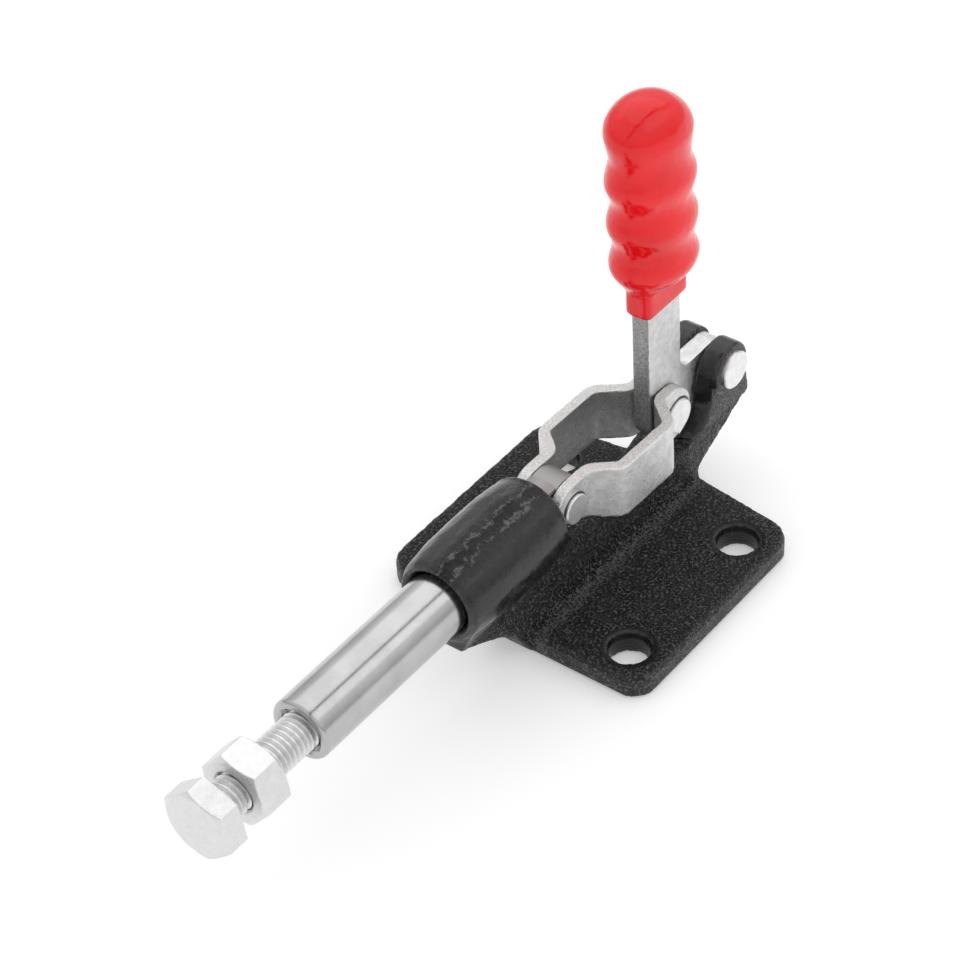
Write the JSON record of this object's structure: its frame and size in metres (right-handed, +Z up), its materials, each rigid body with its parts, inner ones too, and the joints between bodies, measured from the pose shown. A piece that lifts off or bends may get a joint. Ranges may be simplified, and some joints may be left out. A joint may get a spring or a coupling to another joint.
{
  "type": "toggle clamp",
  "caption": "Push-pull toggle clamp with flanged cast base, guided plunger, hexagon spindle bolt and upright finger-grooved grip.",
  "frame": {"origin": "on the underside of the base, under the plunger axis, midway between the front and rear mounting holes", "axes": "+X is the way the plunger pushes, +Z is up from the mounting face"},
  "size_m": [0.2001, 0.076, 0.1224],
  "materials": {
    "black_casting": "satin",
    "plated_steel": "bright zinc",
    "ground_steel": "ground",
    "zinc_fastener": "bright zinc",
    "red_vinyl": "gloss"
  },
  "bodies": {
    "base": {"cast_body": "black_casting", "pivot_pin": "plated_steel"},
    "lever": {"lever_bar": "plated_steel", "grip_sleeve": "red_vinyl"},
    "links": {"link_near": "plated_steel", "link_far": "plated_steel", "lever_link_pin": "plated_steel", "plunger_pin": "plated_steel"},
    "plunger": {"plunger": "ground_steel"},
    "spindle": {"spindle_bolt": "zinc_fastener"},
    "nut": {"lock_nut": "zinc_fastener"}
  },
  "joints": [
    {"name": "lever_swing", "type": "hinge", "parent": "base", "child": "lever", "pos_m": [-0.0502, 0, 0.0323], "axis": [0, -1, 0], "range_deg": [0, 90]},
    {"name": "link_swing", "type": "hinge", "parent": "lever", "child": "links", "pos_m": [-0.0308, 0, 0.0296], "axis": [0, 1, 0], "range_deg": [0, 119.7]},
    {"name": "plunger_slide", "type": "slide", "parent": "base", "child": "plunger", "axis": [-1, 0, 0], "range_m": [0, 0.0212]},
    {"name": "spindle_screw", "type": "slide", "parent": "plunger", "child": "spindle", "axis": [1, 0, 0], "range_m": [-0.0132, 0.012]},
    {"name": "nut_turn", "type": "hinge", "parent": "spindle", "child": "nut", "pos_m": [0.12425, 0, 0.0323], "axis": [1, 0, 0], "continuous": true}
  ],
  "couplings": [
    {"joint": "link_swing", "follows": "lever_swing", "ratio": 1.3275},
    {"joint": "plunger_slide", "follows": "lever_swing", "m_per_rad": 0.013428}
  ]
}
